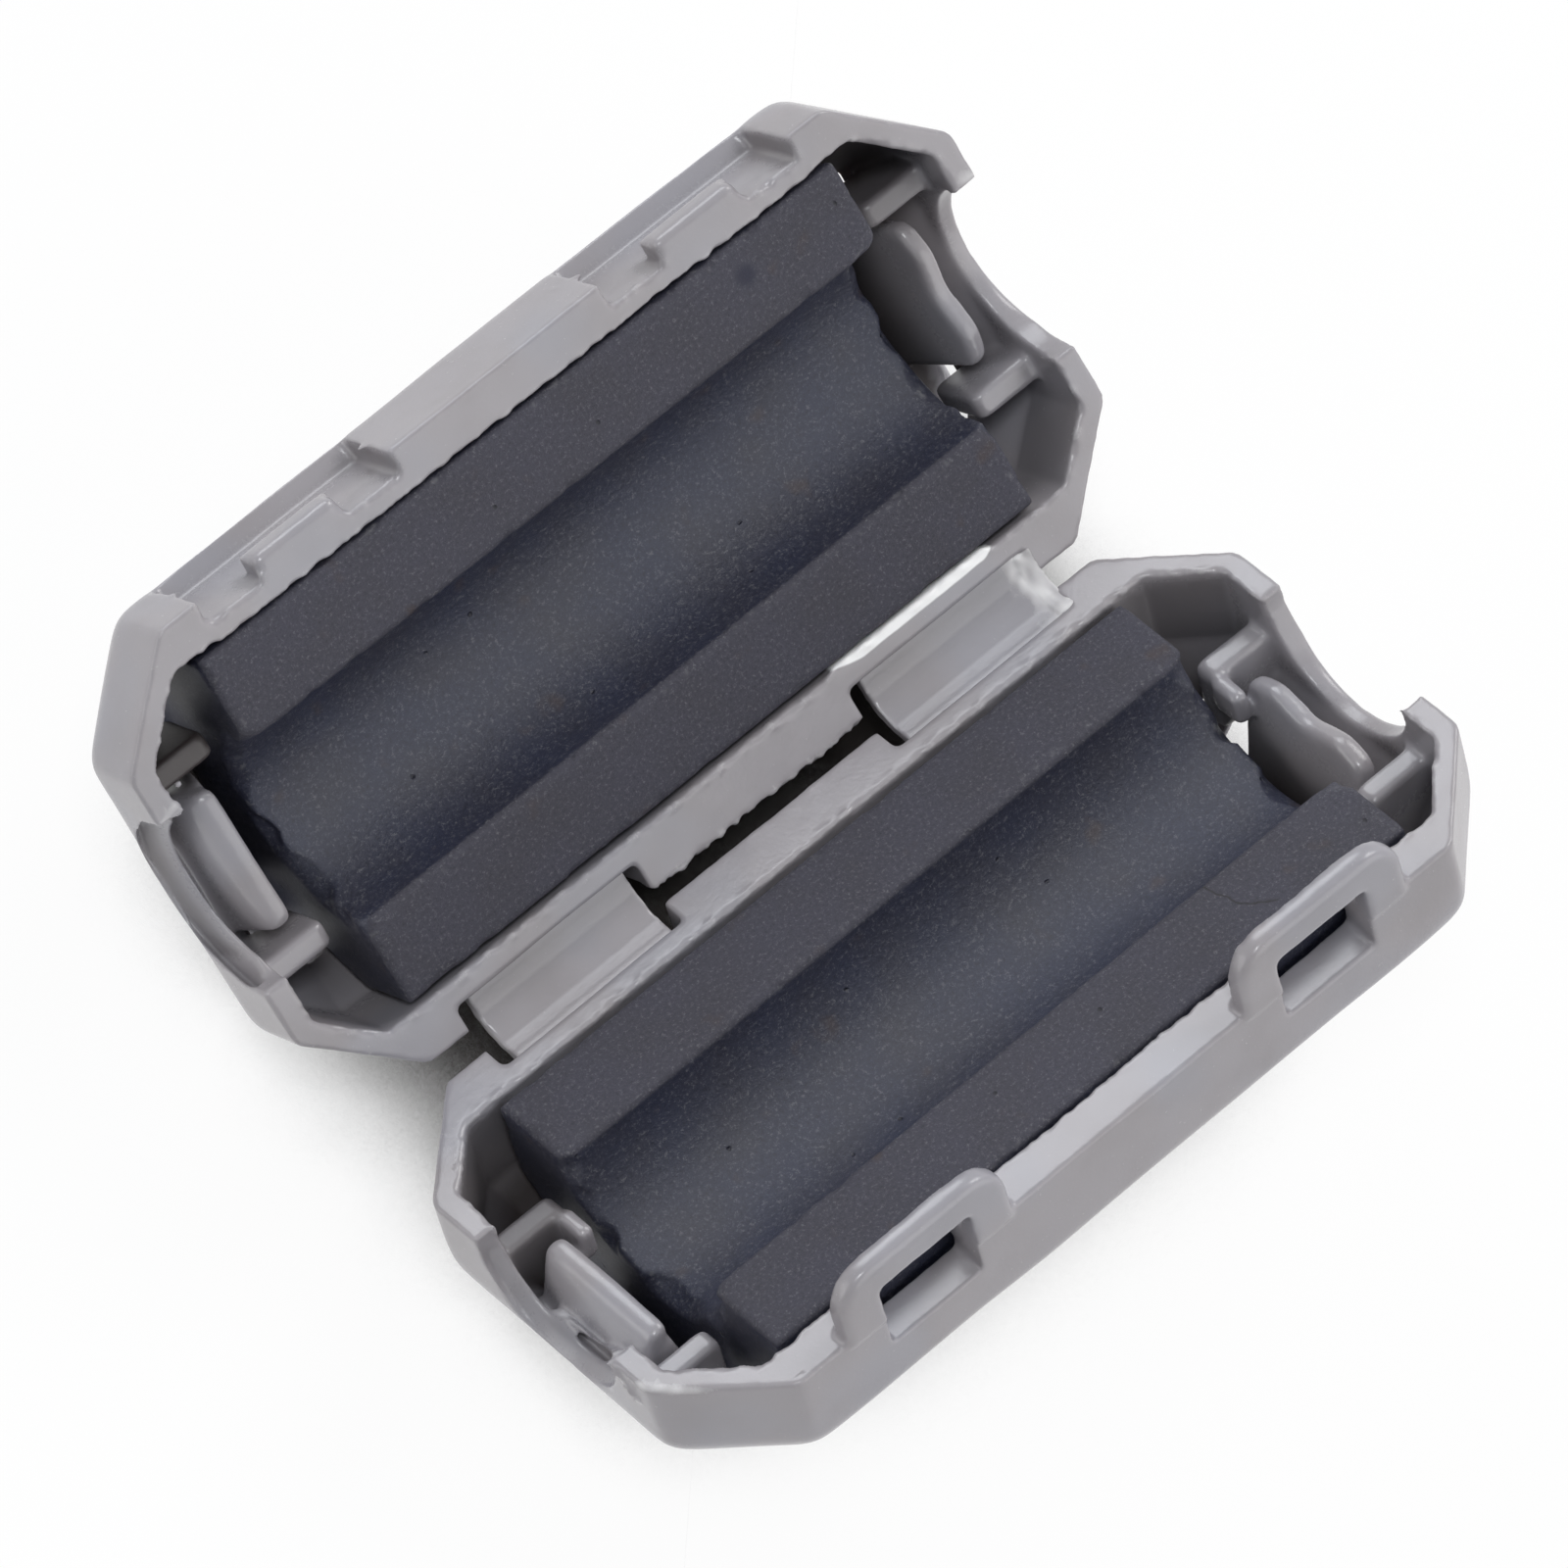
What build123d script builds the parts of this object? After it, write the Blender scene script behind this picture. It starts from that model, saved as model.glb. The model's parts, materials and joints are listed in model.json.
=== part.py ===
# Clip-on ferrite core for a 5 mm cable, lying open on its back edges.
# Two moulded half-shells hang on a pair of thin living-hinge straps, and each holds one half core.
# Each half is drawn in its own frame: x along the cable, y out from the hinge line to the latch,
# z out of the parting face, with the parting face at z = 0. It is then tilted to its rest place.

from build123d import *
from math import cos, radians, sin, sqrt
import os

# Overall sizes, mm
shell_length = 25.4
shell_width = 12.8
shell_depth = 6.4
corner = 2.5            # 45 degree corners of the plan
side_depth = 2.5        # straight part of the side walls, before the back bevel
bevel_inset = 3.0       # how far the back bevel comes in
outer_round = 0.5       # rounding of the outside edges
inner_round = 0.25      # rounding of the plan corners inside

# Walls, mm
hinge_wall = 1.35
latch_wall = 1.1
end_wall = 0.7
corner_wall = 0.65

# Half core, mm
core_length = 19.6
core_depth = 5.2
core_side_gap = 0.15    # play between the core and each long wall
core_back_gap = 0.2     # more play beside its narrow back
channel_radius = 2.65
core_edge = 0.12        # small break along the edges of the ground faces

# Hinge, mm and degrees
opening_angle = 120     # between the two parting faces at rest
hinge_gap = 0.25        # hinge line to the outside of each hinge wall
parting_gap = 0.06      # left between the two rims when shut
strap_width = 4.85
strap_thickness = 0.35
strap_drop = 0.12       # rim down to the top of a strap at its root
strap_slot = 0.35       # slot on each side of a strap
strap_root = 0.68       # depth of the strap recess into the hinge wall
strap_recess = 2.3      # height of the strap recess, which the folded strap needs

# Latches, mm
latch_spacing = 12.3    # between the two latches and between the two straps
loop_width = 5.15
loop_height = 1.95
loop_thickness = 0.65
loop_proud = 0.1        # how far a loop stands out of the wall
loop_foot = 0.2         # how far its proud feet reach below the rim
loop_corner = 1.1
loop_round = 0.22
window_width = 2.75
window_top = 0.95
window_sill = 1.2
catch_clearance = 0.06
pocket_side_gap = 0.32
pocket_end_gap = 0.3
pocket_runout = 0.7     # slope at the deep end of a pocket
catch_proud = 0.55
catch_round = 0.12

# Ends, mm and degrees
notch_radius = 2.45
tongue_width = 4.2
tongue_height = 4.05
tongue_thickness = 0.6
tongue_lean = 11.5
tongue_dip = 0.28
tongue_lobe = 0.95
finger_spacing = 5.6
finger_thickness = 0.75
finger_top = 1.25       # rim down to the top of a finger
finger_height = 2.1
finger_gap = 0.35       # play between a finger and the end of the core
finger_round = 0.3
soft_round = 0.2        # rounding along the tongues and fingers
end_window_width = 8.6
end_window_top = 3.75   # rim down to the top of the window under the cable notch

# Places that follow from them
tilt = (180 - opening_angle) / 2
half_length = shell_length / 2
hinge_face = hinge_gap
latch_face = hinge_gap + shell_width
core_width = shell_width - hinge_wall - latch_wall - 2 * core_side_gap
cable_y = hinge_face + hinge_wall + core_side_gap + core_width / 2
bevel_slope = bevel_inset / (shell_depth - side_depth)
root_y = hinge_face + strap_root
pocket_y = latch_face + loop_proud - loop_thickness - catch_clearance
pocket_width = loop_width + 2 * pocket_side_gap
pocket_depth = loop_height + pocket_end_gap
catch_ledge = window_top - parting_gap - catch_clearance
over = 0.5              # how far a cutter runs past the face it cuts


# Plan of a tub at one depth, with each wall brought in by its own amount
def plan(walls, depth, rounding=0):
    ends, hinge, latch, corners = walls
    x = half_length - ends
    low = hinge_face + hinge
    high = latch_face - latch
    cut = corner + corners * sqrt(2)
    side_x = half_length - cut
    with BuildSketch(Plane.XY.offset(-depth)) as level:
        with BuildLine():
            Polyline(
                (-side_x - hinge, low),
                (side_x + hinge, low),
                (x, hinge_face + cut - ends),
                (x, latch_face - cut + ends),
                (side_x + latch, high),
                (-side_x - latch, high),
                (-x, latch_face - cut + ends),
                (-x, hinge_face + cut - ends),
                close=True,
            )
        make_face()
        if rounding:
            fillet(level.vertices(), rounding)
    return level.sketch


# Straight-sided to side_depth, then bevelled in to the given depth, with its upright corners rounded
def tub(walls, depth, rounding):
    inset = bevel_slope * (depth - side_depth)
    with BuildPart() as form:
        loft([plan(walls, side_depth).face(), plan([wall + inset for wall in walls], depth).face()])
        extrude(plan(walls, 0), amount=-side_depth)
        extrude(plan(walls, 0, rounding), amount=-depth, mode=Mode.INTERSECT)
    return form.part


# The shell that both halves share: tub, core pocket, cable notches, end windows and strap recesses
def plain_shell():
    with BuildPart() as shell:
        add(tub((0, 0, 0, 0), shell_depth, outer_round))
        fillet(shell.edges().filter_by_position(Axis.Z, -side_depth, -side_depth), outer_round)
        add(tub((end_wall, hinge_wall, latch_wall, corner_wall), core_depth, inner_round), mode=Mode.SUBTRACT)
        for end in (-1, 1):
            with BuildSketch(Plane.YZ.offset(end * (half_length + over))):
                with Locations((cable_y, 0)):
                    Circle(notch_radius)
                with Locations((cable_y, -end_window_top)):
                    Rectangle(end_window_width, core_depth - end_window_top, align=(Align.CENTER, Align.MAX))
            extrude(amount=-end * (half_length + over - core_length / 2), mode=Mode.SUBTRACT)
        with BuildSketch():
            with Locations((-latch_spacing / 2, root_y), (latch_spacing / 2, root_y)):
                Rectangle(strap_width + 2 * strap_slot, strap_root + over, align=(Align.CENTER, Align.MAX))
        extrude(amount=-strap_recess, mode=Mode.SUBTRACT)
        for end in (-1, 1):
            add(tongue(end))
            for side in (-1, 1):
                add(finger(end, side))
    return shell.part


# Springy tongue that stands on the floor at one end and grips the cable; end is +1 or -1
def tongue(end):
    foot_x = half_length - bevel_inset + bevel_slope * (shell_depth - core_depth) - tongue_thickness
    lean = radians(tongue_lean)
    face = Plane(
        origin=(end * foot_x, cable_y, -core_depth),
        x_dir=(0, end, 0),
        z_dir=(end * cos(lean), 0, -sin(lean)),
    )
    half = tongue_width / 2
    shoulder = tongue_height - tongue_dip
    with BuildPart() as plate:
        with BuildSketch(face) as profile:
            with BuildLine():
                Polyline(
                    (-half, -tongue_thickness / 2), (half, -tongue_thickness / 2), (half, shoulder),
                    (half - tongue_lobe, tongue_height), (0, shoulder),
                    (tongue_lobe - half, tongue_height), (-half, shoulder), close=True,
                )
            make_face()
            fillet(profile.vertices().sort_by(Axis.Y)[2:], tongue_lobe / 2)
        extrude(amount=tongue_thickness)
        fillet(plate.faces().sort_by(SortBy.AREA)[-2:].edges(), soft_round)
    return plate.part


# Finger on the inside of an end wall, beside the tongue, that stops the core from sliding
def finger(end, side):
    root_x = half_length - end_wall / 2
    tip_x = core_length / 2 + finger_gap
    near_y = cable_y + side * finger_spacing / 2 - finger_thickness / 2
    with BuildPart() as bar:
        with BuildSketch(Plane.XZ.offset(-near_y)) as profile:
            with Locations((end * tip_x, -finger_top)):
                Rectangle(root_x - tip_x, finger_height, align=(Align.MIN if end > 0 else Align.MAX, Align.MAX))
            fillet(profile.vertices().sort_by(lambda v: abs(v.X))[:2], finger_round)
        extrude(amount=-finger_thickness)
        fillet(bar.faces().filter_by(Axis.Y).edges(), soft_round)
    return bar.part


# One latch loop: a rounded frame that stands on the rim, before its window is cut
def latch_loop(x):
    outer_y = latch_face + loop_proud
    with BuildPart() as frame:
        with BuildSketch(Plane.XZ.offset(-outer_y)) as profile:
            with Locations((x, loop_height)):
                Rectangle(loop_width, loop_height + loop_foot, align=(Align.CENTER, Align.MAX))
            fillet(profile.vertices().group_by(Axis.Y)[-1], loop_corner)
        extrude(amount=loop_thickness)
        foot_level = frame.edges().group_by(Axis.Z)[0]
        rims = frame.faces().filter_by(Axis.Y).edges()
        fillet([edge for edge in rims if edge not in foot_level], loop_round)
    return frame.part


def loop_shell():
    with BuildPart() as shell:
        add(plain_shell())
        for side in (-1, 1):
            x = side * latch_spacing / 2
            add(latch_loop(x))
            with BuildSketch(Plane.XZ.offset(-latch_face - over)):
                with Locations((x, window_top)):
                    Rectangle(window_width, window_top + window_sill, align=(Align.CENTER, Align.MAX))
            extrude(amount=latch_wall + 2 * over, mode=Mode.SUBTRACT)
    return shell.part


# Section of a pocket that takes a loop, with its sloped deep end
def pocket_section():
    return [
        (latch_face + over, over),
        (pocket_y, over),
        (pocket_y, -pocket_depth),
        (latch_face + over, -pocket_depth - pocket_runout),
    ]


# Section of the wedge that a loop snaps over
def catch_section():
    crest_y = pocket_y + catch_proud
    return [
        (pocket_y - over, 0),
        (pocket_y + catch_round, 0),
        (crest_y, -catch_ledge + 2 * catch_round),
        (crest_y, -catch_ledge),
        (pocket_y - over, -catch_ledge),
    ]


def catch_shell():
    catch_width = window_width - 2 * catch_clearance
    with BuildPart() as shell:
        add(plain_shell())
        for side in (-1, 1):
            x = side * latch_spacing / 2
            for section, width, mode in (
                (pocket_section(), pocket_width, Mode.SUBTRACT),
                (catch_section(), catch_width, Mode.ADD),
            ):
                with BuildSketch(Plane.YZ.offset(x - width / 2)):
                    with BuildLine():
                        Polyline(*section, close=True)
                    make_face()
                extrude(amount=width, mode=mode)
    return shell.part


# Half of the ferrite core: beveled back, half-round channel for the cable
def half_core():
    side_y = core_width / 2
    back_y = side_y - bevel_slope * (core_depth - side_depth) - core_back_gap
    with BuildPart() as core:
        with BuildSketch(Plane.YZ.offset(-core_length / 2)):
            with BuildLine():
                Polyline(
                    (cable_y - side_y, 0), (cable_y + side_y, 0), (cable_y + side_y, -side_depth),
                    (cable_y + back_y, -core_depth), (cable_y - back_y, -core_depth),
                    (cable_y - side_y, -side_depth), close=True,
                )
            make_face()
            with Locations((cable_y, 0)):
                Circle(channel_radius, mode=Mode.SUBTRACT)
        extrude(amount=core_length)
        chamfer(core.edges().group_by(Axis.Z)[-1], core_edge)
    return core.part


# A strap sags between the two halves in one arc, square to each recess at its root
def strap(x):
    lean = radians(tilt)
    root_z = -parting_gap / 2 - strap_drop - strap_thickness / 2
    bend = (root_y * cos(lean) - root_z * sin(lean)) / sin(lean)
    centre = (0, hinge_height + root_y * sin(lean) + root_z * cos(lean) + bend * cos(lean))
    with BuildPart() as band:
        with BuildSketch(Plane.YZ.offset(x - strap_width / 2)):
            with BuildLine():
                top = CenterArc(centre, bend - strap_thickness / 2, 270 - tilt, 2 * tilt)
                under = CenterArc(centre, bend + strap_thickness / 2, 270 - tilt, 2 * tilt)
                Line(top @ 0, under @ 0)
                Line(top @ 1, under @ 1)
            make_face()
        extrude(amount=strap_width)
    return band.part


# Rest places of the two halves, each tilted up from the hinge line
def catch_side(height):
    return Location((0, 0, height), (tilt, 0, 0)) * Location((0, 0, -parting_gap / 2))


def loop_side(height):
    return Location((0, 0, height), (-tilt, 0, 0)) * Location((0, 0, -parting_gap / 2), (0, 0, 180))


core_half = half_core()
loop_half = loop_shell()
catch_half = catch_shell()
hinge_height = -(loop_side(0) * loop_half).bounding_box().min.Z

pieces = {
    "loop_shell": loop_side(hinge_height) * loop_half,
    "catch_shell": catch_side(hinge_height) * catch_half,
    "loop_core": loop_side(hinge_height) * core_half,
    "catch_core": catch_side(hinge_height) * core_half,
    "hinge_strap_left": strap(-latch_spacing / 2),
    "hinge_strap_right": strap(latch_spacing / 2),
}

os.makedirs("parts", exist_ok=True)
for name, piece in pieces.items():
    piece.label = name
    export_step(piece, f"parts/{name}.step")
print(f"hinge line at z = {hinge_height:.3f}, cable line at y = {cable_y:.3f} of each half")
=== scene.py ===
import json
from math import cos, radians, sin

import bmesh
import bpy
import numpy as np
from mathutils import Matrix, Vector, noise


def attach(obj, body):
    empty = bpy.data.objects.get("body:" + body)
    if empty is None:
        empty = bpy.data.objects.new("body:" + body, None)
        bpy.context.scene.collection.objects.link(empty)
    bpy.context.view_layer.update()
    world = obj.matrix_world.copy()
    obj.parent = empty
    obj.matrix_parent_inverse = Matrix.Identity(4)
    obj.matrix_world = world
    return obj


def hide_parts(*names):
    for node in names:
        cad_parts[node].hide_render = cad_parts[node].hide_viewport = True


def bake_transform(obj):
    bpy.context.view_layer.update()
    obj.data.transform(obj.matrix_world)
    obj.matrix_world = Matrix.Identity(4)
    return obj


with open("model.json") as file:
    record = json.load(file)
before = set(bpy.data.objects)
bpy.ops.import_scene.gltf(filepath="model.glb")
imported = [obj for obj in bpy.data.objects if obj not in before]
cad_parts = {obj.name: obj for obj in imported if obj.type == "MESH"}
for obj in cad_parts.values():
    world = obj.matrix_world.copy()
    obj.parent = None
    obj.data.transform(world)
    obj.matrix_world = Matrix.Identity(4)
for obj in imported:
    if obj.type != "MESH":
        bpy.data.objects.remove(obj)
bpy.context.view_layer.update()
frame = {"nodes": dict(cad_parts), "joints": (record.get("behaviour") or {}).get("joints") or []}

mm = 0.001
hinge = frame["joints"][0]
hingePlace = Vector(hinge["pos_m"])
tilt = radians(180 - hinge["range_deg"][1]) / 2  # of each parting face, from level
partingGap = 0.06
cableY = 6.775  # from the hinge line to the middle of the cable
catchSide, loopSide = 1, -1


# Each half is worked on in its own space, in mm: x along the cable, y out from the hinge line to the
# latch, z out of the parting face. A strap is worked on in world directions, round the hinge line.


def halfSpace(side):
    out = Vector((0, side * cos(tilt), sin(tilt)))
    up = Vector((0, -side * sin(tilt), cos(tilt)))
    turn = Matrix((Vector((1, 0, 0)), out, up)).transposed().to_4x4()
    return hingeSpace() @ turn @ Matrix.Translation((0, 0, -partingGap / 2))


def hingeSpace():
    return Matrix.Translation(hingePlace) @ Matrix.Diagonal((mm, mm, mm, 1))


def copyOfNode(node, space):
    form = bmesh.new()
    form.from_mesh(frame["nodes"][node].data)
    bmesh.ops.remove_doubles(form, verts=form.verts, dist=1e-7)
    bmesh.ops.transform(form, matrix=space.inverted(), verts=form.verts)
    if space.determinant() < 0:
        bmesh.ops.reverse_faces(form, faces=form.faces)
    return form


def meshOf(form):
    mesh = bpy.data.meshes.new("form")
    form.to_mesh(mesh)
    form.free()
    return mesh


def throughModifier(mesh, kind, settings):  # the mesh as one modifier leaves it
    work = bpy.data.objects.new("work", mesh)
    bpy.context.scene.collection.objects.link(work)
    modifier = work.modifiers.new("work", kind)
    for key, value in settings.items():
        setattr(modifier, key, value)
    ready = work.evaluated_get(bpy.context.evaluated_depsgraph_get())
    result = bpy.data.meshes.new_from_object(ready)
    bpy.data.objects.remove(work)
    return result


def castOf(form, voxel):  # one closed skin round everything in the form
    return throughModifier(meshOf(form), "REMESH", {"mode": "VOXEL", "voxel_size": voxel})


# Shaping with noise and smoothing, on all points of a mesh at once


def pointsOf(mesh):
    points = np.empty(len(mesh.vertices) * 3, np.float32)
    mesh.vertices.foreach_get("co", points)
    return points.reshape(-1, 3).astype(float)


def movePoints(mesh, points):
    mesh.vertices.foreach_set("co", points.astype(np.float32).ravel())
    mesh.update()


def normalsOf(mesh):
    normals = np.empty(len(mesh.vertices) * 3, np.float32)
    mesh.vertex_normals.foreach_get("vector", normals)
    return normals.reshape(-1, 3).astype(float)


class Net:  # which point is whose neighbour
    def __init__(self, mesh):
        ends = np.empty(len(mesh.edges) * 2, np.int32)
        mesh.edges.foreach_get("vertices", ends)
        self.first, self.second = ends.reshape(-1, 2).T
        self.count = len(mesh.vertices)
        self.share = np.bincount(ends, minlength=self.count)

    def mean(self, values):
        if values.ndim > 1:
            return np.column_stack([self.mean(column) for column in values.T])
        total = np.bincount(self.first, values[self.second], self.count)
        total += np.bincount(self.second, values[self.first], self.count)
        return total / self.share

    def blur(self, values, times):
        for _ in range(times):
            values = values + (self.mean(values) - values) / 2
        return values

    def soften(self, points, mask, times):  # rounds the form where the mask is 1
        picked = np.flatnonzero(mask > 0.01)
        near = np.isin(self.first, picked) | np.isin(self.second, picked)
        first, second = self.first[near], self.second[near]
        pull = (mask / 2 / self.share)[:, None]
        for _ in range(times):
            gap = points[second] - points[first]
            change = np.column_stack([
                np.bincount(first, column, self.count) - np.bincount(second, column, self.count)
                for column in gap.T
            ])
            points = points + change * pull
        return points


def step(low, high, values):  # 0 below low, 1 above high, smooth in between
    share = np.clip((values - low) / (high - low), 0, 1)
    return share * share * (3 - 2 * share)


def inside(points, low, high, blend):  # 1 within a box, falling to 0 round it
    share = np.ones(len(points))
    for axis in range(3):
        share *= step(low[axis] - blend, low[axis], points[:, axis])
        share *= 1 - step(high[axis], high[axis] + blend, points[:, axis])
    return share


def nearLine(points, start, end, reach):  # 1 along a line, falling to 0 at its reach
    along = np.subtract(end, start)
    share = np.clip((points - start) @ along / (along @ along), 0, 1)
    gap = np.linalg.norm(points - start - share[:, None] * along, axis=1)
    return 1 - step(reach * 0.4, reach, gap)


def ridgeAt(values, place, width):  # 1 at the place, falling off like a bell
    return np.exp(-((values - place) / width) ** 2)


def noiseAt(points, scale, seed):
    shift = Vector((seed * 17.3, seed * 7.9, seed * 3.1))
    return np.array([noise.noise(Vector(point) * scale + shift) for point in points])


def edgesOf(mesh, net, voxel, spread):  # 0 on flats, towards 1 on outer edges
    points, normals = pointsOf(mesh), normalsOf(mesh)
    bend = ((points - net.mean(points)) * normals).sum(1) / voxel
    return np.clip(net.blur(np.clip(bend * 4, 0, 1), spread) * 2.2, 0, 1)


def giveMask(mesh, name, values):
    layer = mesh.attributes.new(name, "FLOAT", "POINT")
    layer.data.foreach_set("value", values.astype(np.float32))


def settle(name, node, mesh, space, most, material):  # thins the mesh and puts it in its place
    triangles = len(mesh.polygons) * 2
    if triangles > most:
        mesh = throughModifier(mesh, "DECIMATE", {"ratio": most / triangles})
    mesh.transform(space)
    if space.determinant() < 0:
        mesh.flip_normals()
    mesh.name = name
    mesh.shade_smooth()
    mesh.materials.append(material)
    piece = bpy.data.objects.new(name, mesh)
    bpy.context.scene.collection.objects.link(piece)
    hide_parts(node)
    print(name, len(mesh.polygons), "faces")
    return piece


# Shader nodes written as expressions


class Wire:
    def __init__(self, shade, socket):
        self.shade, self.socket = shade, socket

    def maths(self, operation, *values):
        return self.shade.add("Math", {"operation": operation}, dict(enumerate(values)))

    def __add__(self, other):
        return self.maths("ADD", self, other)

    __radd__ = __add__

    def __sub__(self, other):
        return self.maths("SUBTRACT", self, other)

    def __rsub__(self, other):
        return self.maths("SUBTRACT", other, self)

    def __mul__(self, other):
        return self.maths("MULTIPLY", self, other)

    def size(self):
        return self.maths("ABSOLUTE", self)

    def most(self, other):
        return self.maths("MAXIMUM", self, other)

    def between(self, low, high):  # 0 below low, 1 above high, smooth in between
        limits = {0: self, 1: low, 2: high}
        return self.shade.add("MapRange", {"interpolation_type": "SMOOTHSTEP"}, limits)


class Shade:
    def __init__(self, owner):  # the owner is a new material, or the world
        owner.use_nodes = True
        self.owner = owner
        self.tree = owner.node_tree
        self.skin = self.tree.nodes.get("Principled BSDF")

    def add(self, kind, settings=None, values=None, output=0):
        node = self.tree.nodes.new("ShaderNode" + kind)
        for key, value in (settings or {}).items():
            setattr(node, key, value)
        for key, value in (values or {}).items():
            self.plug(node.inputs[key], value)
        return Wire(self, node.outputs[output])

    def plug(self, socket, value):
        if isinstance(value, Wire):
            self.tree.links.new(value.socket, socket)
        else:
            socket.default_value = value

    def finish(self, **values):
        for key, value in values.items():
            self.plug(self.skin.inputs[key.replace("_", " ")], value)
        return self.owner

    def placeIn(self, space):  # object coordinates in the mm of a working space
        shift, turn, scale = space.inverted().decompose()
        values = {0: self.add("TexCoord", output=3), 1: shift, 2: turn.to_euler(), 3: scale}
        return self.add("Mapping", {"vector_type": "POINT"}, values)

    def parts(self, place):
        split = self.add("SeparateXYZ", values={0: place})
        return [Wire(self, socket) for socket in split.socket.node.outputs]

    def grain(self, place, scale, detail=2.0, rough=0.5):
        values = {"Vector": place, "Scale": scale, "Detail": detail, "Roughness": rough}
        return self.add("TexNoise", {"noise_dimensions": "3D"}, values)

    def cells(self, place, scale):
        return self.add("TexVoronoi", {"feature": "F1"}, {"Vector": place, "Scale": scale})

    def gap(self, place, centre):  # distance from a point, along the face
        flat = self.add("VectorMath", {"operation": "MULTIPLY"}, {0: place, 1: (1, 1, 0)})
        return self.add("VectorMath", {"operation": "DISTANCE"}, {0: flat, 1: (*centre, 0)}, output=1)

    def mask(self, name):
        return self.add("Attribute", {"attribute_name": name}, output=2)

    def seen(self):  # 1 where the camera or a reflection looks, 0 where light is gathered
        rays = self.add("LightPath").socket.node.outputs
        kinds = ("Is Camera Ray", "Is Glossy Ray", "Is Transmission Ray")
        camera, glossy, through = [Wire(self, rays[kind]) for kind in kinds]
        return camera.most(glossy).most(through)

    def mix(self, share, first, second):
        return self.add("Mix", {"data_type": "RGBA"}, {0: share, 6: first, 7: second}, output=2)

    def bump(self, height, strength, distance):
        return self.add("Bump", values={"Height": height, "Strength": strength, "Distance": distance})


def shown(red, green, blue):  # a colour as the screen shows it, for the shader
    linear = [((c / 255 + 0.055) / 1.055) ** 2.4 for c in (red, green, blue)]
    return (*linear, 1)


# Moulded plastic

plastic = {
    "body": shown(153, 149, 153),
    "shade": shown(137, 132, 134),
    # painted reflection: a bluish tint, laid in random cloudy patches
    "cool": shown(147, 152, 165),
    # painted shade: the brown that the deep mask darkens the tub's inside towards
    "deep": shown(46, 38, 37),
    "worn": shown(226, 225, 226),
    "nearWhite": shown(252, 252, 252),
    # painted shade: the straps darker towards the catch side
    "strapPaintedShade": shown(112, 110, 112),
    "strapPaintedShadeY": (-0.5, 1.1),
    "cloudScale": 0.35,
    "coolScale": 0.22,
    "fineScale": 9,
    "waveScale": 2.2,
    "roughness": 0.19,
    "bump": 0.28,
    "bumpDepth": 0.02 * mm,
    "glow": 0.6 * mm,  # how far light spreads inside
    "band": {"start": 3.0, "end": 8.6, "inner": 1.64, "outer": 1.85, "bow": 0.24, "top": -0.4},
}


def nearWhiteStrip(shade, place):  # a near-white strip along the catch rim between the core and the right strap
    band = plastic["band"]
    x, y, z = shade.parts(place)
    middle = x.between(band["start"], band["start"] + 1.2) * (1 - x.between(band["end"] - 0.7, band["end"]))
    reach = y - band["inner"] + middle * band["bow"] + shade.grain(place, 2, 2) * 0.04
    below = z.between(band["top"] - 0.1, band["top"] + 0.1)
    strip = reach.between(0.02, 0.08) * (1 - y.between(band["outer"] - 0.05, band["outer"] + 0.05))
    return strip * below * middle.between(0, 0.1)


def plasticSkin(name, space, strapped=False, banded=False):
    shade = Shade(bpy.data.materials.new(name))
    place = shade.placeIn(space)
    worn, deep = shade.mask("worn"), shade.mask("deep")
    cloud = shade.grain(place, plastic["cloudScale"], 3).between(0.35, 0.75)
    cool = shade.grain(place, plastic["coolScale"], 2).between(0.45, 0.65)
    fine = shade.grain(place, plastic["fineScale"], 4, 0.6)
    colour = shade.mix(cloud * 0.6, plastic["body"], plastic["shade"])
    # painted reflection: bluish tint in random patches
    colour = shade.mix(cool * 0.25, colour, plastic["cool"])
    # painted shade down inside the tub, from the deep mask
    colour = shade.mix(deep, colour, plastic["deep"])
    # painted shade: the strap darkens towards its catch side
    if strapped:
        y = shade.parts(place)[1]
        colour = shade.mix(y.between(*plastic["strapPaintedShadeY"]) * 0.55, colour, plastic["strapPaintedShade"])
    colour = shade.mix(worn, colour, plastic["worn"])
    if banded:
        colour = shade.mix(nearWhiteStrip(shade, place), colour, plastic["nearWhite"])
    height = fine * 0.7 + shade.grain(place, plastic["waveScale"], 2)
    return shade.finish(
        Base_Color=colour,
        Roughness=plastic["roughness"] + fine * 0.12 + (worn + deep) * 0.25,
        Specular_IOR_Level=0.6,
        Subsurface_Weight=0.08,
        Subsurface_Radius=(1.0, 0.9, 0.85),
        Subsurface_Scale=plastic["glow"],
        Normal=shade.bump(height, plastic["bump"], plastic["bumpDepth"]),
    )


# Shell housings

housing = {
    "voxel": 0.07,
    "most": 195000,  # triangles
    "backRounding": 8,  # passes of smoothing
    "cornerRounding": 120,
    "sag": 0.04,
    "sagScale": 0.35,
    "ragged": 0.06,
    "raggedScale": 2.6,
    "burr": 0.025,
    "burrScale": 6.0,
    "wear": 0.16,
    "darkest": 0.96,
    "rimTop": 0.02,  # only the loops rise above it, so the rims stay apart when shut
    "loopsFromY": 12,
    "strapRecess": [((-9.1, 0, -2.6), (-3.2, 1.2, 1)), ((3.2, 0, -2.6), (9.1, 1.2, 1))],
    "flange": ((-3.2, 0, -0.35), (3.2, 0.35, 1)),
    "notchRadius": 2.45,
    "ridgeX": -12.1,
    "ridgeWidth": 0.13,
    "troughX": -12.48,
    "troughWidth": 0.16,
}


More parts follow.
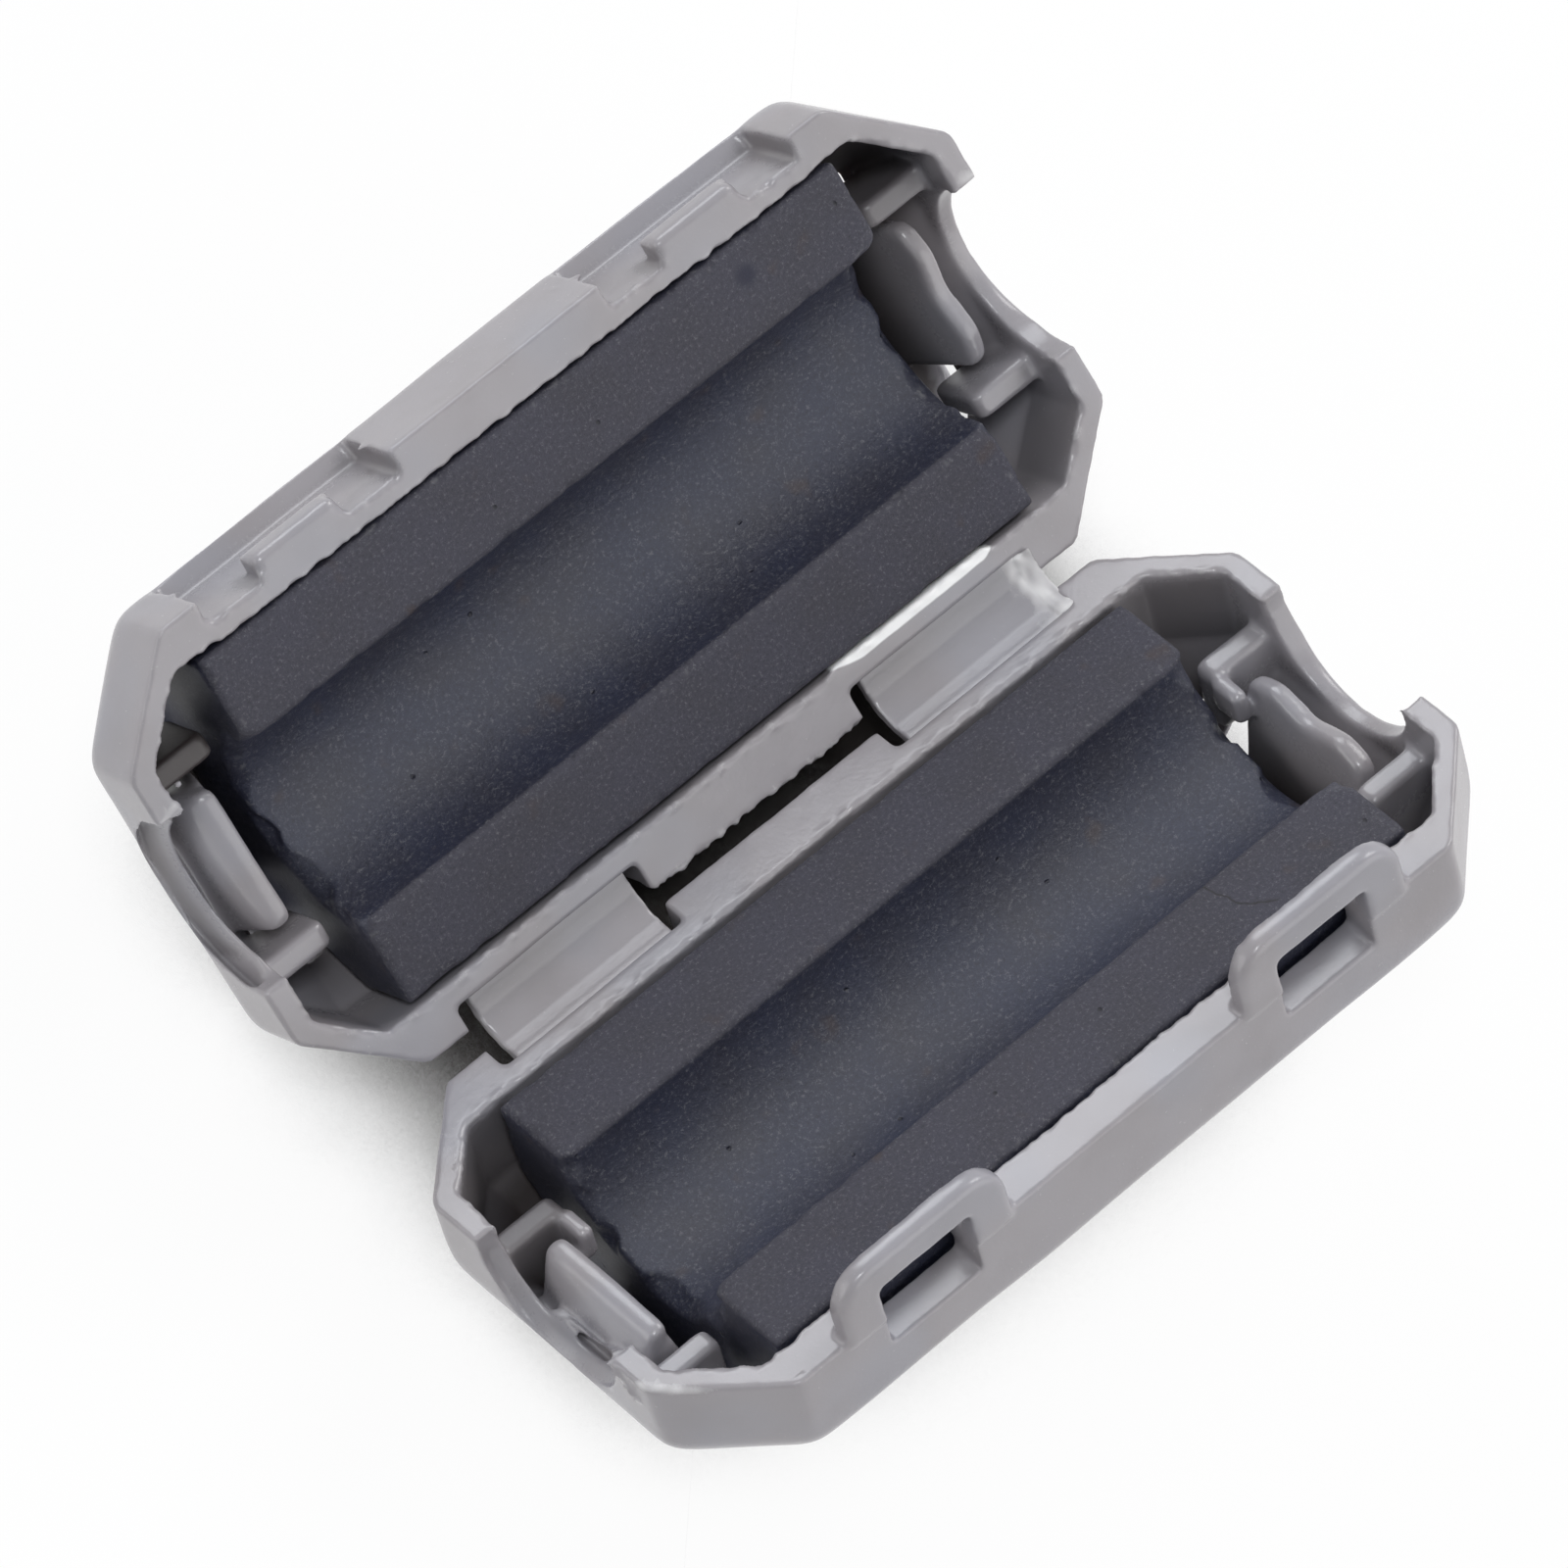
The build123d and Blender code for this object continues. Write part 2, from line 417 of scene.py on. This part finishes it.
def wallsOf(form):  # the big outside faces of the tub, as planes
    cut = form.copy()
    everything = cut.verts[:] + cut.edges[:] + cut.faces[:]
    belowRim = {"plane_co": (0, 0, -0.3), "plane_no": (0, 0, 1), "clear_outer": True}
    bmesh.ops.bisect_plane(cut, geom=everything, **belowRim)
    hull = bmesh.ops.convex_hull(cut, input=cut.verts, use_existing_faces=False)["geom"]
    planes = {}
    for face in hull:
        if isinstance(face, bmesh.types.BMFace) and face.calc_area() > 1 and face.normal.z < 0.9:
            direction = tuple(round(part, 2) for part in face.normal)
            planes[direction] = (*face.normal, face.normal.dot(face.verts[0].co))
    cut.free()
    return np.array(list(planes.values()))


def wallDepth(walls, points):  # how far a point lies inside the outside of the tub
    return (walls[:, 3][:, None] - walls[:, :3] @ points.T).min(0)


def addFin(form, start, end, rise, thick, seed):  # a thin ragged fin of flash along a line
    start, end, rise = Vector(start), Vector(end), Vector(rise)
    along = end - start
    across = along.cross(rise).normalized() * thick
    turn = Matrix((along, rise, across)).transposed().to_4x4()
    fin = bmesh.new()
    bmesh.ops.create_cube(fin, size=1, matrix=Matrix.Translation((start + end) / 2) @ turn)
    bmesh.ops.subdivide_edges(fin, edges=fin.edges, cuts=5, use_grid_fill=True)
    for vert in fin.verts:
        vert.co += rise * noise.noise(vert.co * 3 + Vector((seed, 0, 0))) * 0.8
        vert.co += across * noise.noise(vert.co * 4 + Vector((0, seed, 0))) * 0.6
    form.from_mesh(meshOf(fin))


def addBlock(form, place, size, rounding, lean=0.0):  # lean: how far x moves for 1 mm up
    block = bmesh.new()
    bmesh.ops.create_cube(block, size=1, matrix=Matrix.Diagonal((*size, 1)))
    bmesh.ops.bevel(
        block, geom=block.edges[:], offset=rounding, segments=3, profile=0.5, affect="EDGES", material=-1
    )
    shear = Matrix(((1, 0, lean, 0), (0, 1, 0, 0), (0, 0, 1, 0), (0, 0, 0, 1)))
    bmesh.ops.transform(block, matrix=Matrix.Translation(place) @ shear, verts=block.verts)
    form.from_mesh(meshOf(block))


def addNub(form, place, size):
    matrix = Matrix.Translation(place) @ Matrix.Diagonal((*size, 1))
    bmesh.ops.create_icosphere(form, subdivisions=2, radius=1, matrix=matrix)


def addLumps(form, seed, detail):
    for number, fin in enumerate(detail["fins"]):
        addFin(form, *fin, seed + number)
    for nub in detail["nubs"]:
        addNub(form, *nub)
    for block in detail["blocks"]:
        addBlock(form, *block)


def roundShell(net, points, depth, detail):  # the back, its corners and the tongues
    outer = 1 - step(0.1, 0.3, depth)
    back = outer * step(1.4, 3.2, -points[:, 2])
    points = net.soften(points, back, housing["backRounding"])
    corners = back * step(8.0, 10.8, np.abs(points[:, 0]))
    points = net.soften(points, corners, housing["cornerRounding"])
    for low, high, times in detail["soft"]:
        points = net.soften(points, inside(points, low, high, 0.15), times)
    return points


def shapeNotch(points, detail):  # a ridge along the inner edge of the left notch, a trough outside it
    across = points[:, 1:] - (cableY, 0)
    radius = np.hypot(*across.T)
    onNotch = 1 - step(0.1, 0.45, np.abs(radius - housing["notchRadius"]))
    onNotch *= step(0.4, 1.0, -points[:, 2])
    ridge = ridgeAt(points[:, 0], housing["ridgeX"], housing["ridgeWidth"]) * detail["ridge"]
    trough = ridgeAt(points[:, 0], housing["troughX"], housing["troughWidth"]) * detail["trough"]
    rise = onNotch * (ridge - trough)
    moved = points.copy()
    moved[:, 1:] -= across / radius[:, None] * rise[:, None]
    return moved


def roughenShell(points, normals, edges, inner, grain, detail):
    sag, ragged, burr = grain
    move = (sag - 0.6) * housing["sag"]
    move += edges * (0.25 + 0.75 * inner) * (ragged * housing["ragged"] + burr * housing["burr"])
    rough = shapeNotch(points + normals * move[:, None], detail)
    for low, high, shift in detail["pushes"]:
        rough += inside(rough, low, high, 0.3)[:, None] * np.array(shift)
    pull = inside(rough, *housing["flange"], 0.25)
    rough[:, 1] -= pull * (detail["flange"] + detail["flangeNoise"] * (ragged + burr))
    rim = (points[:, 2] < housing["rimTop"]) | (rough[:, 1] < housing["loopsFromY"])
    rough[rim, 2] = np.minimum(rough[rim, 2], housing["rimTop"])
    return rough


def wearOf(points, edges, inner, grain, detail):  # pale edges, and paler lines where flash was torn
    sag, ragged, burr = grain
    worn = edges * (0.3 + 0.7 * inner) * step(-0.1, 0.5, ragged * 0.6 + burr * 0.4) * housing["wear"]
    for start, end, reach, strength in detail["worn"]:
        worn += nearLine(points, start, end, reach) * (0.6 + ragged) * strength
    return np.clip(worn, 0, 1)


def paintedShadeOf(points, depth, detail):  # painted shade: brown darkening down inside the tub and in the listed boxes
    deep = step(0.35, 0.6, depth) * step(1.6, 5.0, -points[:, 2])
    for low, high, strength in detail["dark"]:
        deep += inside(points, low, high, 0.2) * strength
    return np.clip(deep * step(0.05, 0.3, depth), 0, housing["darkest"])


def housingPiece(name, node, side, body, seed, detail):
    space = halfSpace(side)
    form = copyOfNode(node, space)
    walls = wallsOf(form)
    addLumps(form, seed, detail)
    mesh = castOf(form, housing["voxel"])
    net = Net(mesh)
    points = net.blur(pointsOf(mesh), 2)
    depth = wallDepth(walls, points)
    points = roundShell(net, points, depth, detail)
    movePoints(mesh, points)
    edges = edgesOf(mesh, net, housing["voxel"], 2)
    for low, high in housing["strapRecess"]:
        edges *= 1 - inside(points, low, high, 0.15)
    inner = step(0.3, 0.5, depth) * (1 - step(0.6, 1.2, -points[:, 2]))
    scales = ((housing["sagScale"], 2), (housing["raggedScale"], 0), (housing["burrScale"], 1))
    grain = [noiseAt(points, scale, seed + extra) for scale, extra in scales]
    points = roughenShell(points, normalsOf(mesh), edges, inner, grain, detail)
    movePoints(mesh, points)
    giveMask(mesh, "worn", wearOf(points, edges, inner, grain, detail))
    giveMask(mesh, "deep", paintedShadeOf(points, depth, detail))
    skin = plasticSkin(name + "Skin", space, banded=detail["banded"])
    piece = settle(name, node, mesh, space, housing["most"], skin)
    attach(piece, body)


tongueSoft = [
    ((-12.0, 4.4, -4.0), (-10.2, 9.2, -0.5), 8),
    ((10.2, 4.4, -4.0), (12.0, 9.2, -0.5), 14),
]
tonguePillow = ((-11.38, 6.78, -2.35), (0.74, 4.05, 2.5), 0.3, 0.3)

# In loopDetail and catchDetail a block is its place, size, rounding and lean, a fin its start, end, rise
# and thickness, and a nub its place and size. Soft places, boxes of painted shade (dark) and pushes run
# from a low to a high corner, with the passes, strength or shift, and a worn line has a start, end, reach
# and strength.

loopDetail = {
    "soft": tongueSoft + [((-9.0, 12.0, 0.15), (9.0, 13.5, 3), 5)],
    "blocks": [
        tonguePillow,
        ((10.88, 2.95, -4.45), (0.5, 1.2, 1.5), 0.1, 0.77),
        ((-10.32, 4.75, -1.8), (0.5, 1.05, 1.1), 0.18),
        ((10.32, 4.75, -1.8), (0.5, 1.05, 1.1), 0.18),
    ],
    "fins": [
        ((-12.70, 9.15, -0.05), (-12.75, 10.0, -0.9), (-0.2, 0.1, 0.1), 0.08),
        ((-12.55, 9.2, -0.1), (-12.15, 9.0, -0.3), (0, -0.2, 0.2), 0.08),
        ((-11.85, 8.3, -2.0), (-11.9, 5.6, -2.35), (0, 0.1, 0.35), 0.08),
    ],
    "nubs": [
        ((12.6, 9.28, -0.1), (0.12, 0.12, 0.12)),
        ((12.05, 9.2, -0.1), (0.08, 0.12, 0.12)),
    ],
    "worn": [
        ((-12.75, 10.2, 0), (-10.9, 12.85, 0), 0.16, 0.7),
        ((-12.7, 9.15, -0.2), (-12.8, 10.1, -0.9), 0.14, 0.8),
        ((-12.7, 9.2, 0), (-12.1, 9.1, 0), 0.14, 0.6),
        ((-11.9, 8.3, -1.9), (-11.9, 5.6, -2.2), 0.15, 0.4),
    ],
    "pushes": [((-9, 11.7, -0.6), (9, 12.1, 0.4), (0, -0.06, 0))],
    # boxes of painted shade
    "dark": [
        ((-12.6, 4.9, -3), (-12.2, 8.6, -1.2), 0.15),
        ((-11.9, 0.9, -5), (-9.5, 4.3, -0.4), 0.6),
        ((8.5, 0.9, -5), (11.9, 3.2, -0.4), 0.35),
    ],
    "ridge": 0.05,
    "trough": 0.12,
    "flange": 0.06,
    "flangeNoise": 0.0,
    "banded": False,
}

catchDetail = {
    "soft": tongueSoft,
    "blocks": [
        tonguePillow,
        ((10.65, 3.8, -4.75), (1.5, 2.3, 0.8), 0.1),
        ((-10.65, 3.8, -4.8), (0.9, 0.9, 0.8), 0.1),
        ((-10.65, 7.9, -4.8), (0.9, 0.9, 0.8), 0.1),
        ((-6.15, 12.7, -0.44), (2.56, 0.66, 0.86), 0.24),
        ((6.15, 12.7, -0.44), (2.56, 0.66, 0.86), 0.24),
    ],
    "fins": [
        ((-12.6, 9.25, -0.05), (-11.9, 9.3, -0.1), (0, -0.2, 0.1), 0.12),
    ],
    "nubs": [
        ((-11.7, 9.75, -0.1), (0.16, 0.12, 0.12)),
        ((-9.1, 13.0, -1.3), (0.16, 0.08, 0.16)),
        ((-3.36, 13.0, -1.3), (0.12, 0.08, 0.14)),
        ((2.75, 13.0, -1.5), (0.16, 0.08, 0.16)),
        ((3.36, 13.0, -1.3), (0.12, 0.08, 0.12)),
        ((7.05, 12.3, -0.1), (0.1, 0.08, 0.1)),
    ],
    "worn": [
        ((-3.2, 0.1, 0), (3.2, 0.1, 0), 0.14, 0.35),
        ((12.3, 9.4, 0), (12.65, 9.3, 0), 0.14, 0.5),
        ((-12.1, 9.4, -0.1), (-12.6, 9.2, -0.1), 0.14, 0.5),
    ],
    "pushes": [
        ((3.4, 1.45, -0.7), (8.0, 1.8, 0.4), (0, 0.1, 0)),
        ((-9, 11.8, -0.6), (9, 12.2, 0.4), (0, -0.08, 0)),
    ],
    # boxes of painted shade
    "dark": [
        ((-12.65, 4.9, -3), (-12.35, 8.6, -1.2), 0.5),
        ((-7.7, 12.45, -1), (-7.45, 13.1, -0.1), 0.3),
        ((4.6, 12.45, -1), (4.85, 13.1, -0.1), 0.3),
        ((-3.5, 12.5, -2.3), (-3.25, 13.1, -0.1), 0.35),
        ((8.8, 12.5, -2.3), (9.05, 13.1, -0.1), 0.35),
        ((-12.0, 8.9, -5), (-9.5, 12.2, -0.5), 1.0),
        ((-11.2, 4.0, -5), (-9.7, 9.1, -2.6), 0.4),
        ((9.8, 0.9, -4.6), (12, 3.6, -0.8), -0.3),  # a corner kept clear of painted shade
        ((9.5, 9.1, -5), (11.9, 11.8, -1.0), 0.55),
    ],
    "ridge": 0.34,
    "trough": 0.42,
    "flange": 0.16,
    "flangeNoise": 0.08,
    "banded": True,
}


# Ferrite half cores

ferrite = {
    "face": shown(57, 56, 68),
    "fired": shown(42, 45, 63),
    "deep": shown(50, 48, 55),
    "speck": shown(150, 150, 152),
    "pit": shown(20, 20, 26),
    "stain": shown(66, 52, 46),
    "crack": shown(34, 32, 36),
    "spot": shown(22, 24, 44),
    "groundZ": (-0.25, -0.1),  # only the ground faces lie above
    "grainScale": 9,
    "cloudScale": 0.5,
    "stainScale": 0.9,
    "pitScale": 0.9,
    "spotPlace": (6.47, 10.93),
    "crackCentre": (7.52, 9.51),
    "crackRadius": 2.03,
    "crackFromY": 9.3,
    "crackToX": 6.4,
    "roughness": 0.36,
    "bump": 0.8,
    "bumpDepth": 0.05 * mm,
    "voxel": 0.07,
    "most": 190000,
    "chip": 0.09,
    "chipScale": 1.5,
    "crumb": 0.01,
    "crumbScale": 5.0,
    "channelRadius": 2.65,
    "halfLength": 9.8,
    "endRounding": 8,
    "endWear": 0.4,
    "scallopScale": 1.1,
}


def spotOn(shade, place):
    return 1 - shade.gap(place, ferrite["spotPlace"]).between(0.08, 0.42)


def crackOn(shade, place):  # a short arc that wanders a little
    x, y = shade.parts(place)[:2]
    wander = shade.grain(place, 1.5, 3) - 0.5
    off = (shade.gap(place, ferrite["crackCentre"]) - ferrite["crackRadius"] + wander * 0.5).size()
    fromY, toX = ferrite["crackFromY"], ferrite["crackToX"]
    stretch = y.between(fromY - 0.1, fromY + 0.1) * (1 - x.between(toX - 0.1, toX + 0.1))
    return (1 - off.between(0.01, 0.05)) * stretch


def ferriteSkin(name, side):
    shade = Shade(bpy.data.materials.new(name))
    place = shade.placeIn(halfSpace(side))
    ground = shade.parts(place)[2].between(*ferrite["groundZ"])
    grain = shade.grain(place, ferrite["grainScale"], 4, 0.9)
    cloud = shade.grain(place, ferrite["cloudScale"], 3).between(0.3, 0.75)
    stain = shade.grain(place, ferrite["stainScale"], 2).between(0.64, 0.8)
    ragged = shade.grain(place, 6, 2) * 0.12
    pits = 1 - (shade.cells(place, ferrite["pitScale"]) + ragged).between(0.08, 0.13)
    colour = shade.mix(ground, ferrite["fired"], ferrite["face"])
    colour = shade.mix(cloud * 0.5, colour, ferrite["deep"])
    colour = shade.mix(grain.between(0.53, 0.66) * 0.3, colour, ferrite["speck"])
    colour = shade.mix((1 - grain.between(0.34, 0.47)) * 0.6, colour, ferrite["pit"])
    colour = shade.mix(stain * 0.5, colour, ferrite["stain"])
    colour = shade.mix(pits * 0.8, colour, ferrite["pit"])
    if side == catchSide:
        colour = shade.mix(spotOn(shade, place) * 0.9, colour, ferrite["spot"])
    else:
        colour = shade.mix(crackOn(shade, place) * ground, colour, ferrite["crack"])
    colour = shade.mix(shade.mask("worn"), colour, ferrite["speck"])
    height = grain * (0.6 + ground * 0.6) - pits * 1.5
    return shade.finish(
        Base_Color=colour,
        Roughness=ferrite["roughness"] + ground * 0.24 + grain * 0.15,
        Normal=shade.bump(height, ferrite["bump"], ferrite["bumpDepth"]),
    )


def wearEnds(net, points, seed):  # scallops along the channel's rim at both ends
    radius = np.hypot(points[:, 1] - cableY, points[:, 2])
    rim = 1 - step(0.0, 0.5, np.abs(radius - ferrite["channelRadius"]))
    rim *= step(1.2, 0.0, ferrite["halfLength"] - np.abs(points[:, 0]))
    scallops = noiseAt(points * (0, 1, 1), ferrite["scallopScale"], seed)
    points = net.soften(points, rim, ferrite["endRounding"])
    wear = rim * np.clip(0.4 + scallops * 1.7, 0, 1)
    points[:, 0] -= np.sign(points[:, 0]) * wear * ferrite["endWear"]
    return points


def ferritePiece(name, node, side, body, seed):
    space = halfSpace(side)
    mesh = castOf(copyOfNode(node, space), ferrite["voxel"])
    net = Net(mesh)
    points = net.blur(pointsOf(mesh), 1)
    movePoints(mesh, points)
    edges = edgesOf(mesh, net, ferrite["voxel"], 4)
    chips = noiseAt(points, ferrite["chipScale"], seed)
    crumbs = noiseAt(points, ferrite["crumbScale"], seed + 1)
    chipped = step(0.1, 0.5, chips + crumbs * 0.2) * ferrite["chip"]
    move = -edges * (chipped + crumbs * ferrite["crumb"])
    points = wearEnds(net, points + normalsOf(mesh) * move[:, None], seed + 2)
    movePoints(mesh, points)
    giveMask(mesh, "worn", edges * step(0.5, 0.7, chips * 0.4 + crumbs) * 0.35)
    skin = ferriteSkin(name + "Skin", side)
    piece = settle(name, node, mesh, space, ferrite["most"], skin)
    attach(piece, body)


# Bending straps

strap = {
    "voxel": 0.045,
    "most": 90000,
    "tuck": 1.1,  # widens the strap into the shells' recesses
    "lift": 0.1,
    "ragged": 0.03,
    "raggedScale": 3.5,
    "tearFrom": 8.1,
    "tearShift": 0.5,
    "tearWidth": 0.88,
    "tearLift": 0.03,
}


def addTear(form):  # the torn end of the right strap fills the slot beside it
    tear = form.copy()
    everything = tear.verts[:] + tear.edges[:] + tear.faces[:]
    cut = bmesh.ops.bisect_plane(
        tear, geom=everything, plane_co=(strap["tearFrom"], 0, 0), plane_no=(1, 0, 0), clear_inner=True
    )["geom_cut"]
    bmesh.ops.edgeloop_fill(tear, edges=[part for part in cut if isinstance(part, bmesh.types.BMEdge)])
    bmesh.ops.scale(tear, vec=(1, strap["tearWidth"], 1), verts=tear.verts)
    bmesh.ops.translate(tear, vec=(strap["tearShift"], 0, strap["tearLift"]), verts=tear.verts)
    form.from_mesh(meshOf(tear))


def strapPiece(name, node, seed, torn):
    space = hingeSpace()
    form = copyOfNode(node, space)
    bmesh.ops.scale(form, vec=(1, strap["tuck"], 1), verts=form.verts)
    if torn:
        addTear(form)
    mesh = castOf(form, strap["voxel"])
    net = Net(mesh)
    points = net.blur(pointsOf(mesh), 2)
    points[:, 2] += step(0.3, 0.9, np.abs(points[:, 1])) * strap["lift"]
    movePoints(mesh, points)
    edges = edgesOf(mesh, net, strap["voxel"], 2)
    edges *= 1 - step(0.6, 0.85, np.abs(points[:, 1]))  # only where the strap is free
    ragged = noiseAt(points, strap["raggedScale"], seed)
    move = edges * ragged * strap["ragged"]
    worn = edges * step(0.0, 0.5, ragged) * 0.2
    if torn:
        tear = step(strap["tearFrom"], strap["tearFrom"] + 0.5, points[:, 0] + 0.3 * ragged)
        threads = noiseAt(points * (5, 2, 5), 1, seed + 1)
        move += tear * threads * strap["ragged"]
        worn += tear * (0.5 + 0.5 * threads)
    movePoints(mesh, points + normalsOf(mesh) * move[:, None])
    giveMask(mesh, "worn", np.clip(worn, 0, 1))
    skin = plasticSkin(name + "Skin", space, strapped=True)
    piece = settle(name, node, mesh, space, strap["most"], skin)
    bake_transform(piece)


housingPiece("loopHousing", "loop_shell", loopSide, "loop_half", 1, loopDetail)
housingPiece("catchHousing", "catch_shell", catchSide, "catch_half", 11, catchDetail)
ferritePiece("loopFerrite", "loop_core", loopSide, "loop_half", 21)
ferritePiece("catchFerrite", "catch_core", catchSide, "catch_half", 31)
strapPiece("leftStrap", "hinge_strap_left", 41, False)
strapPiece("rightStrap", "hinge_strap_right", 51, True)


# Studio

studio = {
    "floorSize": 4.0,
    "floorColour": (0.93, 0.93, 0.93, 1),
    "floorRoughness": 0.9,
    # painted shade for the floor close under the halves
    "floorPaintedShade": (0.035, 0.028, 0.026, 1),
    "floorGlow": 0.93,
    "shadeReach": 0.0065,
    "shadeFrom": 0.3,
    "shadeTo": 0.55,
    "shadeSamples": 10,
    "worldStrength": 0.25,
    "worldColour": (0.95, 0.98, 1.0, 1),
    "lamps": {
        "latchLamp": {"place": (0.25, -0.47, 0.28), "size": 0.7, "power": 1.7, "colour": (1, 0.99, 0.98)},
        "topLamp": {"place": (-0.08, 0.02, 0.55), "size": 0.14, "power": 0.8, "colour": (0.96, 0.98, 1)},
        "catchLamp": {"place": (0.17, 0.52, 0.24), "size": 0.3, "power": 1.0, "colour": (0.93, 0.96, 1)},
        "sideLamp": {"place": (0.36, 0.12, 0.28), "size": 0.25, "power": 0.8, "colour": (1, 0.99, 0.98)},
        "endLamp": {"place": (-0.4, 0.22, 0.1), "size": 0.4, "power": 0.7, "colour": (1, 0.99, 0.98)},
    },
}


def makeFloor():  # white to the eye, with painted shade close under the halves where ambient occlusion finds them
    bpy.ops.mesh.primitive_plane_add(size=studio["floorSize"])
    floor = bpy.context.object
    floor.name = "floor"
    shade = Shade(bpy.data.materials.new("floorPaint"))
    settings = {"samples": studio["shadeSamples"]}
    clear = shade.add("AmbientOcclusion", settings, {"Distance": studio["shadeReach"]}, output=1)
    clear = clear.between(studio["shadeFrom"], studio["shadeTo"])
    # painted shade where the floor lies close under the halves
    colour = shade.mix(clear, studio["floorPaintedShade"], studio["floorColour"])
    paint = shade.finish(Base_Color=colour, Roughness=studio["floorRoughness"])
    glow = shade.add("Emission", values={"Color": (1, 1, 1, 1), "Strength": 1.0})
    share = shade.seen() * clear * studio["floorGlow"]
    final = shade.add("MixShader", values={0: share, 1: Wire(shade, shade.skin.outputs[0]), 2: glow})
    shade.plug(shade.tree.nodes["Material Output"].inputs[0], final)
    floor.data.materials.append(paint)


def makeWorld():
    world = bpy.data.worlds.new("studio")
    bpy.context.scene.world = world
    shade = Shade(world)
    glow = shade.tree.nodes["Background"]
    shade.plug(glow.inputs["Color"], studio["worldColour"])
    level = shade.add("MapRange", values={0: shade.seen(), 3: studio["worldStrength"], 4: 1.0})
    shade.plug(glow.inputs["Strength"], level)


def makeLamps():
    for name, lamp in studio["lamps"].items():
        light = bpy.data.lights.new(name, "AREA")
        light.shape = "DISK"
        light.size = lamp["size"]
        light.energy = lamp["power"]
        light.color = lamp["colour"]
        stand = bpy.data.objects.new(name, light)
        stand.location = lamp["place"]
        stand.rotation_euler = Vector(lamp["place"]).to_track_quat("Z", "Y").to_euler()
        bpy.context.scene.collection.objects.link(stand)


view = {
    "place": (-0.088037, -0.026968, 0.294678),
    "turn": (14.95565, -9.61046, -41.00424),
    "focalPixels": 13248,
    "framePixels": 1600,
    "sensor": 36,
    "clipStart": 0.01,
}


def makeCamera():
    camera = bpy.data.cameras.new("camera")
    camera.sensor_width = view["sensor"]
    camera.lens = view["focalPixels"] / view["framePixels"] * view["sensor"]
    camera.clip_start = view["clipStart"]
    stand = bpy.data.objects.new("camera", camera)
    stand.location = view["place"]
    stand.rotation_euler = [radians(angle) for angle in view["turn"]]
    bpy.context.scene.collection.objects.link(stand)
    bpy.context.scene.camera = stand


makeFloor()
makeWorld()
makeLamps()
makeCamera()
bpy.context.scene.view_settings.view_transform = "Standard"
print("studio ready")
